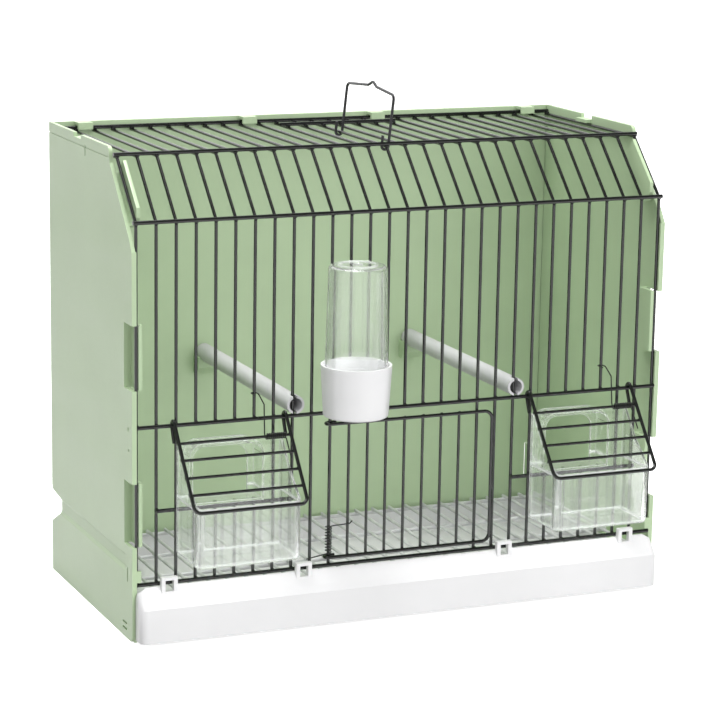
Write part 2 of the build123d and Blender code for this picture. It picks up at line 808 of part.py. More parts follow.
feeder_plate_z = bottom_z + feeder_plate_rise
tunnel_low_z = sill_z + cross_radius + sill_clearance
tunnel_high_z = feeder_plate_z - tunnel_top_drop

for side, (first, last) in opening_spans.items():
    middle_x = (grille_x(first) + grille_x(last)) / 2
    left_x = middle_x - flap_left_reach
    right_x = middle_x + flap_right_reaches[side]
    with BuildPart() as flap:
        with BuildLine() as flap_route:
            left_curl = curl_point(left_x, -flap_tail_lean)
            Line(left_curl + flap_tail_run, left_curl)
            ThreePointArc(
                left_curl,
                curl_point(left_x, curl_middle),
                flap_point(left_x, 0, flap_curl),
            )
            FilletPolyline(
                flap_point(left_x, 0, flap_curl),
                flap_point(left_x, flap_length, flap_curl),
                flap_point(right_x, flap_length, flap_curl),
                flap_point(right_x, 0, flap_curl),
                radius=flap_corner,
            )
            right_curl = curl_point(right_x, -flap_tail_lean)
            ThreePointArc(
                flap_point(right_x, 0, flap_curl),
                curl_point(right_x, curl_middle),
                right_curl,
            )
            Line(right_curl, right_curl + flap_tail_run)
        with BuildSketch(flap_route.line ^ 0):
            Circle(flap_frame_radius)
        sweep()
        for run in flap_bar_runs:
            start = flap_point(left_x - flap_frame_radius / 2, run, flap_bar_offset)
            end = flap_point(right_x + flap_frame_radius / 2, run, flap_bar_offset)
            add(straight_rod(start, end, flap_bar_radius))
    save(flap.part, f"{side}_flap")

    # Torsion spring on the flap's first bar: one arm hooks a grille bar, the other lies behind the flap
    coil_length = flap_spring_pitch * flap_spring_turns
    coil_end_x = right_x - flap_frame_radius - spring_radius - flap_coil_gap
    coil_centre = flap_point(coil_end_x - coil_length, flap_bar_runs[0], flap_bar_offset)
    arm_knee = Vector(coil_centre.X + upper_arm_drift, cross_y - upper_arm_inset, middle_z + upper_arm_rise)
    knee_distance = math.hypot(arm_knee.Y - coil_centre.Y, arm_knee.Z - coil_centre.Z)
    knee_angle = math.atan2(arm_knee.Z - coil_centre.Z, arm_knee.Y - coil_centre.Y)
    arm_angle = knee_angle + math.asin(flap_coil_radius / knee_distance)
    arm_up = Vector(0, math.cos(arm_angle), math.sin(arm_angle))
    arm_front = Vector(0, -arm_up.Z, arm_up.Y)
    arm_turn = math.degrees(math.acos(-arm_up.Y * down_y - arm_up.Z * down_z))
    coil = helix_frame(
        coil_centre,
        arm_up * -1,
        arm_front,
        Vector(1, 0, 0),
        flap_coil_radius,
        flap_spring_pitch,
        360 * flap_spring_turns + arm_turn,
    )
    print("flap spring: radius", flap_coil_radius, "least gap", least_gap(coil, spring_radius))
    hook_x = grille_x(last - 1)
    hook_z = middle_z + upper_hook_rise
    upper_point, upper_heading = coil[0]
    lower_point, lower_heading = coil[-1]
    upper_arm = [
        (hook_x - upper_hook_radius, bar_y - upper_tip_reach, hook_z),
        (hook_x - upper_hook_radius, bar_y + upper_hook_radius, hook_z),
        (hook_x + upper_hook_radius, bar_y + upper_hook_radius, hook_z),
        (hook_x + upper_hook_radius, bar_y - upper_hook_reach, hook_z),
        arm_knee,
        upper_point - upper_heading * flap_arm_run,
    ]
    hook_bend = upper_hook_radius - hook_flat
    lower_knee = lower_point + lower_heading * flap_arm_run
    lower_arm = [lower_knee, lower_knee + Vector(0, down_y, down_z) * (lower_arm_run - flap_arm_run)]
    upper_bends = [hook_bend, hook_bend, spring_arm_bend, spring_arm_bend, spring_arm_bend]
    flap_spring = spring_wire(coil, upper_arm, lower_arm, upper_bends, spring_arm_bend, spring_radius)
    save(flap_spring, f"{side}_flap_spring")

    # Feeder
    low_x = middle_x + feeder_shift - feeder_width / 2
    high_x = middle_x + feeder_shift + feeder_width / 2
    with BuildPart() as feeder:
        cheek = [
            (feeder_back_y, feeder_low_z),
            (feeder_front_y, feeder_low_z),
            (feeder_front_y, feeder_lip_z),
            (feeder_front_y + cheek_lip_run, feeder_lip_z),
            (feeder_back_y - cheek_knee_reach, bottom_z + cheek_knee_rise),
            (feeder_back_y - cheek_shoulder_reach, bottom_z + cheek_shoulder_rise),
            (feeder_back_y - feeder_wall, feeder_plate_z),
            (feeder_back_y, feeder_plate_z),
        ]
        add(plate_along_x(cheek, low_x, high_x, [0, 0, 0, 0, cheek_bend, cheek_shoulder_bend, 0, 0]))
        fillet(feeder.edges().filter_by(Axis.Z).group_by(Axis.Y)[0], feeder_corner)
        base_edges = feeder.edges().group_by(Axis.Z)[0]
        fillet(base_edges.filter_by(lambda e: e.center().Y < feeder_back_y - feeder_wall), feeder_base_round)
        with BuildSketch(Plane.XY.offset(feeder_low_z + feeder_wall)):
            with BuildLine():
                FilletPolyline(
                    (low_x + feeder_wall, feeder_back_y - feeder_wall),
                    (high_x - feeder_wall, feeder_back_y - feeder_wall),
                    (high_x - feeder_wall, feeder_front_y + feeder_wall),
                    (low_x + feeder_wall, feeder_front_y + feeder_wall),
                    radius=[0, 0, feeder_corner - feeder_wall, feeder_corner - feeder_wall],
                    close=True,
                )
            make_face()
        extrude(amount=feeder_plate_z - feeder_low_z, mode=Mode.SUBTRACT)
        # Tunnel with rounded top corners, open towards the trough, and an arched opening in its rear wall
        tunnel_plane = Plane((middle_x, feeder_back_y - feeder_wall, 0), x_dir=(1, 0, 0), z_dir=(0, -1, 0))
        for half, low, high, corner, depth, mode in (
            (tunnel_width / 2, tunnel_low_z, tunnel_high_z, tunnel_corner, tunnel_depth, Mode.ADD),
            (
                tunnel_width / 2 - feeder_wall,
                tunnel_low_z + feeder_wall,
                tunnel_high_z - feeder_wall,
                tunnel_corner - feeder_wall,
                tunnel_depth - feeder_wall,
                Mode.SUBTRACT,
            ),
            (
                arch_width / 2,
                tunnel_low_z + feeder_wall,
                bottom_z + arch_rise,
                arch_corner,
                tunnel_depth + overrun,
                Mode.SUBTRACT,
            ),
        ):
            with BuildSketch(tunnel_plane):
                with BuildLine():
                    FilletPolyline(
                        (-half, low),
                        (half, low),
                        (half, high),
                        (-half, high),
                        radius=[0, 0, corner, corner],
                        close=True,
                    )
                make_face()
            extrude(amount=-(depth + feeder_wall), mode=mode)
    save(feeder.part, f"{side}_feeder")

# Drinker: cup with a spout that rests on the middle cross wire between two bars, and an upturned clear tube
drinker_places = (10, 11)
drinker_standoff = 24.1
cup_low_rise = 100.8
cup_high_rise = 132.8
cup_low_radius = 20.0
cup_rim_radius = 21.8
cup_wall = 1.4
cup_floor = 2.2
cup_step_rise = 123.4
cup_bore_radius = 18.2
rim_band = 2.2
tube_clearance = 0.3
tube_high_rise = 194.0
tube_top_radius = 18.0
tube_wall = 1.2
tube_shoulder = 2.6
tube_bump_radius = 3.0
tube_bump = 1.5
tube_ring_radius = 12.0
tube_ring = 0.8
spout_side_clearance = 0.7
spout_wall = 1.2
spout_reach = 16.0
spout_height = 10.0
spout_seat = 0.3
spout_root = 3.0
drinker_x = (grille_x(drinker_places[0]) + grille_x(drinker_places[1])) / 2
drinker_y = bar_y - drinker_standoff - bar_radius
cup_low_z = bottom_z + cup_low_rise
cup_high_z = bottom_z + cup_high_rise
cup_step_z = bottom_z + cup_step_rise
tube_low_z = cup_step_z + tube_clearance
tube_high_z = bottom_z + tube_high_rise
tube_low_radius = cup_low_radius + (cup_rim_radius - cup_low_radius) * (cup_step_rise - cup_low_rise) / (
    cup_high_rise - cup_low_rise
) - cup_wall
cup_plane = Plane((drinker_x, drinker_y, 0), x_dir=(1, 0, 0), z_dir=(0, -1, 0))
cup_axis = Axis((drinker_x, drinker_y, 0), (0, 0, 1))
spout_half = bar_pitch / 2 - bar_radius - spout_side_clearance
spout_low_z = middle_z + cross_radius + spout_seat
spout_start_y = drinker_y + cup_low_radius - spout_root

with BuildPart() as drinker_cup:
    with BuildSketch(cup_plane):
        with BuildLine():
            Polyline(
                (0, cup_low_z),
                (cup_low_radius, cup_low_z),
                (cup_rim_radius, cup_high_z - rim_band),
                (cup_rim_radius, cup_high_z),
                (0, cup_high_z),
                close=True,
            )
        make_face()
    revolve(axis=cup_axis)
    fillet(drinker_cup.edges().group_by(Axis.Z)[0], cup_wall)
    block(
        (drinker_x - spout_half, spout_start_y, spout_low_z),
        (drinker_x + spout_half, bar_y + spout_reach, spout_low_z + spout_height),
    )
    with BuildSketch(cup_plane):
        with BuildLine():
            Polyline(
                (0, cup_low_z + cup_floor),
                (cup_bore_radius, cup_low_z + cup_floor),
                (cup_bore_radius, cup_step_z),
                (tube_low_radius, cup_step_z),
                (cup_rim_radius - cup_wall, cup_high_z),
                (cup_rim_radius - cup_wall, cup_high_z + overrun),
                (0, cup_high_z + overrun),
                close=True,
            )
        make_face()
    revolve(axis=cup_axis, mode=Mode.SUBTRACT)
    block(
        (drinker_x - spout_half + spout_wall, drinker_y, cup_low_z + cup_floor),
        (
            drinker_x + spout_half - spout_wall,
            bar_y + spout_reach - spout_wall,
            spout_low_z + spout_height + overrun,
        ),
        Mode.SUBTRACT,
    )
save(drinker_cup.part, "drinker_cup")

tube_outer_low = tube_low_radius - tube_clearance
with BuildPart() as drinker_tube:
    with BuildSketch(cup_plane):
        with BuildLine():
            FilletPolyline(
                (0, tube_low_z),
                (tube_outer_low, tube_low_z),
                (tube_top_radius, tube_high_z),
                (0, tube_high_z),
                radius=[0, 0, tube_shoulder, 0],
                close=True,
            )
        make_face()
    revolve(axis=cup_axis)
    with BuildSketch(cup_plane):
        with BuildLine():
            FilletPolyline(
                (0, tube_low_z - overrun),
                (tube_outer_low - tube_wall, tube_low_z - overrun),
                (tube_top_radius - tube_wall, tube_high_z - tube_wall),
                (0, tube_high_z - tube_wall),
                radius=[0, 0, tube_shoulder - tube_wall, 0],
                close=True,
            )
        make_face()
    revolve(axis=cup_axis, mode=Mode.SUBTRACT)
    with BuildSketch(Plane((drinker_x, drinker_y, tube_high_z))):
        Circle(tube_ring_radius)
        Circle(tube_ring_radius - tube_wall, mode=Mode.SUBTRACT)
    extrude(amount=tube_ring)
    with BuildSketch(Plane((drinker_x, drinker_y, tube_high_z))):
        Circle(tube_bump_radius)
    extrude(amount=tube_bump)
save(drinker_tube.part, "drinker_tube")

# Handle: a wire bail hooked round the middle roof bar, leaning a little
handle_radius = 0.9
handle_clearance = 0.35
handle_legs = (40.4, 114.7)
handle_tip = 6.5
handle_height = 31.8
handle_kink = 34.2
handle_peak = 37.0
handle_kink_shares = (0.376, 0.552)
handle_peak_share = 0.46
handle_corner = 3.5
handle_lean = 6.0
handle_curl = bar_radius + handle_radius + handle_clearance
handle_x = grille_x(bar_gap_count / 2)
near_y, far_y = front_y + handle_legs[0], front_y + handle_legs[1]
span = far_y - near_y

with BuildPart() as handle:
    with BuildLine() as handle_route:
        for y, order in ((near_y, 1), (far_y, -1)):
            tip = Vector(-handle_curl, y, handle_tip)
            low = Vector(-handle_curl, y, 0)
            under = Vector(0, y, -handle_curl)
            leg = Vector(handle_curl, y, 0)
            Line(*(tip, low)[::order])
            ThreePointArc(*(low, under, leg)[::order])
        FilletPolyline(
            (handle_curl, near_y, 0),
            (handle_curl, near_y, handle_height),
            (handle_curl, near_y + handle_kink_shares[0] * span, handle_kink),
            (handle_curl, near_y + handle_peak_share * span, handle_peak),
            (handle_curl, near_y + handle_kink_shares[1] * span, handle_kink),
            (handle_curl, far_y, handle_height),
            (handle_curl, far_y, 0),
            radius=handle_corner,
        )
    with BuildSketch(Plane((-handle_curl, near_y, handle_tip), z_dir=(0, 0, -1))):
        Circle(handle_radius)
    sweep(path=handle_route.line)
leaning = handle.part.rotate(Axis.Y, handle_lean).moved(Location((handle_x, 0, roof_z)))
with BuildPart() as leaning_handle:
    add(leaning)
save(leaning_handle.part, "handle")
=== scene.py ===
import math

import bmesh
import bpy
from mathutils import Matrix, Vector, noise


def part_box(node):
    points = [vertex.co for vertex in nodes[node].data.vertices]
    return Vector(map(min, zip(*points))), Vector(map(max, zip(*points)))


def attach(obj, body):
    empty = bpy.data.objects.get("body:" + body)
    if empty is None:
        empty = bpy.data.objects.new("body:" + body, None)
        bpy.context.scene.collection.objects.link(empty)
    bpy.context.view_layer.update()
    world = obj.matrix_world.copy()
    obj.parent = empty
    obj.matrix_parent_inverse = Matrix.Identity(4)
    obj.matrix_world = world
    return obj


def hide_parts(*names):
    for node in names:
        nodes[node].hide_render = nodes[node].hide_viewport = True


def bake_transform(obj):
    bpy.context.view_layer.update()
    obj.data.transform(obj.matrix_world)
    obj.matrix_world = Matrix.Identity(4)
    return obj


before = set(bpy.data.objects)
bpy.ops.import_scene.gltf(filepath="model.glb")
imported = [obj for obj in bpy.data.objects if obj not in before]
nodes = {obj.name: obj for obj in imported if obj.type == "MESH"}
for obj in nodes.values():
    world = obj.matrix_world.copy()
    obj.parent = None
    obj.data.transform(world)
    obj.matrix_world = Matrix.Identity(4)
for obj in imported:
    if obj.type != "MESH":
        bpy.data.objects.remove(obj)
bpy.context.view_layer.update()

bl_info = {
    "name": "Bird Show Cage",
    "version": (1, 0, 0),
    "blender": (4, 5, 0),
    "location": "3D View > Sidebar > Show Cage",
    "description": "Dresses the show cage: enamelled wire, moulded shell, clear feeders and springs",
    "category": "Object",
}

# Sizes that the pieces below share, as in the CAD, in metres
BAR_PITCH = 0.0126
BAR_COUNT = 29
BAR_RADIUS = 0.0010
CROSS_RADIUS = 0.00125
FRAME_RADIUS = 0.0011  # of the door's and the flaps' frames
WELD_DEPTH = 0.00012  # how far the welded wires of the door and the flaps sink into each other
WIRE_GAP = 0.0002  # between a spring's arm and the wire that it lies on

# Bars of the grille by their place, counted from 0 at the left
HINGE_PLACE = 10
DOOR_PLACES = range(11, 18)

# The fillets at the thinner bars of the door and the flaps, as a share of the weld size
THIN_WELD = 0.82


def middle_of(name):
    """The middle of a node's box."""
    low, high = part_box(name)
    return (low + high) / 2


def bar_x(place):
    """The X of a bar of the grille, counted from 0 at the left."""
    return (place - (BAR_COUNT - 1) / 2) * BAR_PITCH


class CageColours(bpy.types.PropertyGroup):
    shell: bpy.props.FloatVectorProperty(
        name="Shell",
        description="Colour of the moulded side panels and back",
        subtype="COLOR",
        default=(0.44, 0.565, 0.36),
        min=0.0,
        max=1.0,
    )
    enamel: bpy.props.FloatVectorProperty(
        name="Enamel",
        description="Colour of the enamelled wires",
        subtype="COLOR",
        default=(0.003, 0.004, 0.003),
        min=0.0,
        max=1.0,
    )
    drawer: bpy.props.FloatVectorProperty(
        name="Drawer",
        description="Colour of the drawer and the drinker's cup",
        subtype="COLOR",
        default=(0.77, 0.77, 0.775),
        min=0.0,
        max=1.0,
    )
    perch: bpy.props.FloatVectorProperty(
        name="Perch",
        description="Colour of the perch tubes",
        subtype="COLOR",
        default=(0.54, 0.54, 0.55),
        min=0.0,
        max=1.0,
    )
    clear: bpy.props.FloatVectorProperty(
        name="Clear plastic",
        description="Tint of the feeders and the drinker's tube",
        subtype="COLOR",
        default=(0.985, 0.995, 0.99),
        min=0.0,
        max=1.0,
    )


class CageSizes(bpy.types.PropertyGroup):
    weld_size: bpy.props.FloatProperty(
        name="Weld size",
        description="Half width of the enamel fillet at a crossing of two wires",
        default=0.00145,
        min=0.0008,
        max=0.003,
        unit="LENGTH",
    )
    spring_wire: bpy.props.FloatProperty(
        name="Spring wire",
        description="Radius of the wire of the springs",
        default=0.0004,
        min=0.0002,
        max=0.0006,
        unit="LENGTH",
    )
    edge_round: bpy.props.FloatProperty(
        name="Edge rounding",
        description="Rounding of the moulded pieces' edges",
        default=0.0004,
        min=0.0001,
        max=0.001,
        unit="LENGTH",
    )


class StudioSettings(bpy.types.PropertyGroup):
    floor_colour: bpy.props.FloatVectorProperty(
        name="Floor",
        description="Colour of the studio floor",
        subtype="COLOR",
        default=(0.93, 0.93, 0.93),
        min=0.0,
        max=1.0,
    )
    lens: bpy.props.FloatProperty(
        name="Lens",
        description="Focal length of the camera, in millimetres on a 36 mm wide sensor",
        default=130.4465,
        min=20.0,
        max=300.0,
        unit="CAMERA",
    )
    key_power: bpy.props.FloatProperty(
        name="Key light",
        description="Power of the large soft light in front, which reaches through the bars",
        default=72.0,
        min=0.0,
        max=500.0,
        unit="POWER",
    )
    fill_power: bpy.props.FloatProperty(
        name="Fill light",
        description="Power of the large soft light on the left",
        default=18.5,
        min=0.0,
        max=500.0,
        unit="POWER",
    )
    top_power: bpy.props.FloatProperty(
        name="Top light",
        description="Power of the soft light above the roof bars",
        default=42.0,
        min=0.0,
        max=500.0,
        unit="POWER",
    )
    sky: bpy.props.FloatProperty(
        name="Studio glow",
        description="Brightness of the white room around the cage",
        default=0.31,
        min=0.0,
        max=5.0,
    )


class Value:
    """A node's output, so that shader maths can be written as an expression."""

    def __init__(self, nodework, socket):
        self.nodework = nodework
        self.socket = socket

    def maths(self, operation, *others):
        return self.nodework.value(
            "ShaderNodeMath", {"operation": operation}, dict(enumerate((self,) + others))
        )

    def __add__(self, other):
        return self.maths("ADD", other)

    __radd__ = __add__

    def __sub__(self, other):
        return self.maths("SUBTRACT", other)

    def __rsub__(self, other):
        return self.nodework.value("ShaderNodeMath", {"operation": "SUBTRACT"}, {0: other, 1: self})

    def __mul__(self, other):
        return self.maths("MULTIPLY", other)

    __rmul__ = __mul__


class Nodework:
    """The nodes of a material or of the room."""

    def __init__(self, tree):
        self.tree = tree

    def node(self, kind, settings=None, inputs=None):
        """A node of a kind, with its settings made first and then its sockets filled or linked."""
        made = self.tree.nodes.new(kind)
        for name, setting in (settings or {}).items():
            setattr(made, name, setting)
        for name, given in (inputs or {}).items():
            self.fill(made.inputs[name], given)
        return made

    def fill(self, socket, given):
        if isinstance(given, Value):
            self.tree.links.new(given.socket, socket)
        elif socket.type == "RGBA" and len(given) == 3:
            socket.default_value = (*given, 1.0)
        else:
            socket.default_value = given

    def value(self, kind, settings=None, inputs=None, output=0):
        return Value(self, self.node(kind, settings, inputs).outputs[output])


class Finish(Nodework):
    """A material under construction: one shader, and the nodes that feed it."""

    def __init__(self, name):
        self.material = bpy.data.materials.new(name)
        self.material.use_nodes = True
        super().__init__(self.material.node_tree)
        self.shader = self.tree.nodes["Principled BSDF"]
        self.place = self.value("ShaderNodeTexCoord", output="Object")

    def noise(self, scale, detail=2.0, roughness=0.5, place=None):
        """Soft noise between about 0.3 and 0.7, its scale in waves to the metre."""
        return self.value(
            "ShaderNodeTexNoise",
            {"noise_dimensions": "3D"},
            {"Vector": place or self.place, "Scale": scale, "Detail": detail, "Roughness": roughness},
        )

    def stretched(self, x, y, z):
        """The place with each axis scaled, for grain that runs one way."""
        return self.value(
            "ShaderNodeVectorMath", {"operation": "MULTIPLY"}, {0: self.place, 1: (x, y, z)}
        )

    def between(self, amount, low, high):
        """A number that runs from low to high as the noise goes from 0.3 to 0.7."""
        return self.value(
            "ShaderNodeMapRange",
            None,
            {"Value": amount, "From Min": 0.3, "From Max": 0.7, "To Min": low, "To Max": high},
        )

    def blend(self, amount, first, second):
        """A colour between two colours."""
        return self.value(
            "ShaderNodeMix",
            {"data_type": "RGBA"},
            {"Factor": amount, 6: first, 7: second},
            output=2,
        )

    def bump(self, height, strength, distance):
        """A bump that feeds the shader's normal."""
        self.set(
            Normal=self.value(
                "ShaderNodeBump", None, {"Height": height, "Strength": strength, "Distance": distance}
            )
        )

    def set(self, shader=None, **given):
        for name, value in given.items():
            self.fill((shader or self.shader).inputs[name.replace("_", " ")], value)

    def mix(self, factor, **given):
        """Mixes a second shader over the first one by a factor."""
        second = self.node("ShaderNodeBsdfPrincipled")
        self.set(second, **given)
        mixed = self.node("ShaderNodeMixShader", None, {"Fac": factor})
        self.tree.links.new(self.shader.outputs["BSDF"], mixed.inputs[1])
        self.tree.links.new(second.outputs["BSDF"], mixed.inputs[2])
        surface = self.tree.nodes["Material Output"].inputs["Surface"]
        self.tree.links.new(mixed.outputs["Shader"], surface)


def shade(colour, share):
    """A colour made darker or lighter by a share."""
    return tuple(min(1.0, part * share) for part in colour)


def moulded(name, colour, roughness, grain=0.35, coat=0.0):
    """Moulded plastic: fine eroded grain, a little mottling and soft flow marks."""
    finish = Finish(name)
    mottle = finish.noise(26.0, 3.0)
    flow = finish.noise(6.0, 2.0, place=finish.stretched(1.0, 1.0, 5.0))
    skin = finish.noise(2600.0, 2.0, 0.6)
    wear = finish.noise(420.0, 4.0, 0.7)
    finish.set(
        Base_Color=finish.blend(
            finish.between(mottle * 0.6 + flow * 0.4, 0.0, 1.0),
            shade(colour, 0.965),
            shade(colour, 1.03),
        ),
        Roughness=finish.between(wear * 0.5 + flow * 0.5, roughness - 0.05, roughness + 0.06),
        Coat_Weight=coat,
        IOR=1.49,
    )
    finish.bump(skin * 0.8 + wear * 0.2, grain, 0.00006)
    return finish.material


def enamelled(name, colour):
    """Dipped black enamel: glossy, with a soft orange peel and slightly thicker and thinner runs."""
    finish = Finish(name)
    peel = finish.noise(900.0, 2.0)
    dust = finish.noise(3600.0, 1.0)
    runs = finish.noise(70.0, 3.0)
    finish.set(
        Base_Color=finish.blend(
            finish.between(runs, 0.0, 1.0), shade(colour, 0.7), shade(colour, 1.5)
        ),
        Roughness=finish.between(dust * 0.4 + runs * 0.6, 0.08, 0.16),
        IOR=1.5,
    )
    finish.bump(peel * 0.8 + runs * 0.2, 0.3, 0.0001)
    return finish.material


def drawn_steel(name, colour, roughness, streaks=0.3, metal=0.9):
    """Drawn wire: metal with fine die marks along it and a little dulling."""
    finish = Finish(name)
    marks = finish.noise(1400.0, 2.0, place=finish.stretched(1.0, 0.06, 1.0))
    dull = finish.noise(120.0, 4.0)
    finish.set(
        Base_Color=finish.blend(
            finish.between(dull, 0.0, 1.0), shade(colour, 0.82), shade(colour, 1.08)
        ),
        Metallic=metal,
        Roughness=finish.between(dull * 0.5 + marks * 0.5, roughness - 0.08, roughness + 0.1),
    )
    finish.bump(marks, streaks, 0.00004)
    return finish.material


def clear_plastic(name, tint, painted_highlight_rims=()):
    """Clear moulded polystyrene: faint flow lines, fine scratches, and a painted white highlight at its
    corners.

    Each given rim is the height of a rim or of a rounded base edge that gets the painted highlight too,
    and how far the painted highlight reaches from it.
    """
    bending = 1.38
    light_passed = 0.88
    solidity = 0.8
    # The painted white highlight at corners and rims: how far it reaches, how strongly and how far at
    # most it whitens
    corner_reach, corner_highlight_gain, corner_highlight_most = 0.0009, 5.0, 0.75
    rim_highlight_most = 0.7
    finish = Finish(name)
    flow = finish.noise(60.0, 2.0, place=finish.stretched(1.0, 1.0, 0.35))
    scratch = finish.noise(900.0, 3.0, place=finish.stretched(0.2, 1.0, 1.0))
    seen = 1 - finish.value("ShaderNodeLightPath", output="Is Shadow Ray") * light_passed
    finish.set(
        Base_Color=tint,
        Roughness=finish.between(scratch, 0.0, 0.008),
        Transmission_Weight=0.98,
        Alpha=seen * solidity,
        IOR=bending,
    )
    finish.bump(flow * 0.85 + scratch * 0.15, 0.03, 0.0003)
    # Painted highlight: corners are found where the bevelled normal turns away from the flat one
    rounded = finish.value("ShaderNodeBevel", {"samples": 4}, {"Radius": corner_reach})
    flat = finish.value("ShaderNodeNewGeometry", output="Normal")
    turned = finish.value(
        "ShaderNodeVectorMath", {"operation": "DOT_PRODUCT"}, {0: rounded, 1: flat}, output="Value"
    )
    white = ((1 - turned) * corner_highlight_gain).maths("MINIMUM", corner_highlight_most)
    height = finish.value("ShaderNodeSeparateXYZ", None, {0: finish.place}, output="Z")
    upward = finish.value("ShaderNodeSeparateXYZ", None, {0: flat}, output="Z").maths("ABSOLUTE")
    # The painted highlight also runs along each given rim, on the sides rather than on flat tops
    for level, reach in painted_highlight_rims:
        near = rim_highlight_most - (height - level).maths("ABSOLUTE") * (rim_highlight_most / reach)
        white = white.maths("MAXIMUM", near * (1 - upward))
    # A whiter, cloudier shader is mixed in wherever the painted highlight lies
    finish.mix(
        white,
        Base_Color=(0.95, 0.97, 0.96),
        Roughness=0.25,
        Transmission_Weight=0.35,
        Alpha=seen,
        IOR=bending,
    )
    return finish.material


def dress(material, *names):
    """Gives CAD nodes a finish."""
    for name in names:
        for slot in nodes[name].material_slots:
            slot.material = material


def soften(width, *names):
    """Rounds the sharp edges of CAD nodes a little, as a mould does."""
    for name in names:
        weld = nodes[name].modifiers.new("Joined corners", "WELD")
        weld.merge_threshold = 0.000002
        bevel = nodes[name].modifiers.new("Rounded edges", "BEVEL")
        bevel.width = width
        bevel.segments = 2
        bevel.limit_method = "ANGLE"
        bevel.angle_limit = math.radians(35)
        bevel.harden_normals = True
        bevel.use_clamp_overlap = True


def new_piece(name, mesh_maker, material, body=None):
    """A new object from the bmesh that mesh_maker returns, with its finish and its body."""
    mesh = bpy.data.meshes.new(name)
    made = mesh_maker()
    for face in made.faces:
        face.smooth = True
    made.to_mesh(mesh)
    made.free()
    mesh.materials.append(material)
    piece = bpy.data.objects.new(name, mesh)
    bpy.context.scene.collection.objects.link(piece)
    if body:
        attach(piece, body)
    return piece


def weld_fillets(spots, size):
    """Small fillets at wire crossings. Each spot is a place, the way out and the way along one wire."""

    def make():
        made = bmesh.new()
        rings, sides = 6, 12
        height = size * 0.62
        for number, (place, outward, along) in enumerate(spots):
            outward = Vector(outward).normalized()
            along = Vector(along).normalized()
            across = outward.cross(along)
            stretch = 1.0 + 0.16 * noise.noise(Vector((number * 1.7, 0.3, 0.9)))
            skew = 0.12 * noise.noise(Vector((0.4, number * 2.3, 0.1)))
            rows = []
            for ring in range(1, rings):
                lift = math.pi * ring / rings
                row = []
                for side in range(sides):
                    turn = 2 * math.pi * side / sides
                    # A cushion with four soft lobes, which fill the corners between the two wires
                    lobe = 1.0 + 0.16 * abs(math.sin(2 * turn)) * math.sin(lift)
                    reach = size * stretch * lobe * math.sin(lift)
                    row.append(
                        made.verts.new(
                            Vector(place)
                            + along * reach * (math.cos(turn) + skew * math.sin(turn))
                            + across * reach * math.sin(turn)
                            + outward * height * math.cos(lift)
                        )
                    )
                rows.append(row)
            top = made.verts.new(Vector(place) + outward * height)
            foot = made.verts.new(Vector(place) - outward * height)
            for side in range(sides):
                after = (side + 1) % sides
                made.faces.new((top, rows[0][side], rows[0][after]))
                made.faces.new((foot, rows[-1][after], rows[-1][side]))
                for one, two in zip(rows, rows[1:]):
                    made.faces.new((one[side], two[side], two[after], one[after]))
        bmesh.ops.recalc_face_normals(made, faces=made.faces)
        return made

    return make


def round_wire(route, radius, sides=14):
    """A round wire along a list of points, with domed ends."""

    def make():
        made = bmesh.new()
        headings = []
        for number in range(len(route)):
            before = route[max(number - 1, 0)]
            after = route[min(number + 1, len(route) - 1)]
            headings.append((after - before).normalized())
        side_way = headings[0].orthogonal().normalized()
        stations = []
        for point, heading in zip(route, headings):
            side_way = (side_way - heading * side_way.dot(heading)).normalized()
            stations.append((point, heading, side_way.copy(), 1.0))
        first, first_way, first_side, _ = stations[0]
        last, last_way, last_side, _ = stations[-1]
        # The two rings of each domed end: how far out they lie, and how wide they are
        for forward, share in ((0.55, 0.84), (0.9, 0.44)):
            stations.insert(0, (first - first_way * radius * forward, first_way, first_side, share))
            stations.append((last + last_way * radius * forward, last_way, last_side, share))
        rows = []
        for point, heading, side_way, share in stations:
            other_way = heading.cross(side_way)
            row = []
            for side in range(sides):
                turn = 2 * math.pi * side / sides
                spoke = side_way * math.cos(turn) + other_way * math.sin(turn)
                row.append(made.verts.new(point + spoke * radius * share))
            rows.append(row)
        for one, two in zip(rows, rows[1:]):
            for side in range(sides):
                after = (side + 1) % sides
                made.faces.new((one[side], one[after], two[after], two[side]))
        made.faces.new(rows[0][::-1])
        made.faces.new(rows[-1])
        bmesh.ops.recalc_face_normals(made, faces=made.faces)
        return made

    return make


def rounded_run(corners, bend, steps=8):
    """Points along straight runs with round corners. bend is one length, or one for each corner."""
    bends = bend if isinstance(bend, list) else [bend] * (len(corners) - 2)
    points = [corners[0]]
    for before, corner, after, reach in zip(corners, corners[1:], corners[2:], bends):
        back = before - corner
        on = after - corner
        half = back.angle(on) / 2
        cut = min(reach / math.tan(half), back.length * 0.49, on.length * 0.49)
        start = corner + back.normalized() * cut
        end = corner + on.normalized() * cut
        for step in range(steps + 1):
            share = step / steps
            points.append(start * (1 - share) ** 2 + corner * 2 * share * (1 - share) + end * share**2)
    points.append(corners[-1])
    return points


def coil_points(centre, across, up, along, radius, pitch, swing, steps_per_turn=28):
    """Points along a coil that starts below its centre and turns towards across."""
    steps = round(swing / 360 * steps_per_turn)
    points = []
    for step in range(steps + 1):
        angle = math.radians(swing) * step / steps
        spoke = across * math.sin(angle) - up * math.cos(angle)
        points.append(centre + spoke * radius + along * (pitch * angle / (2 * math.pi)))
    return points


def coil_heading(across, up, along, radius, pitch, swing):
    """The way the coil's wire runs at an angle."""
    angle = math.radians(swing)
    turning = across * math.cos(angle) + up * math.sin(angle)
    return (turning * radius + along * (pitch / (2 * math.pi))).normalized()


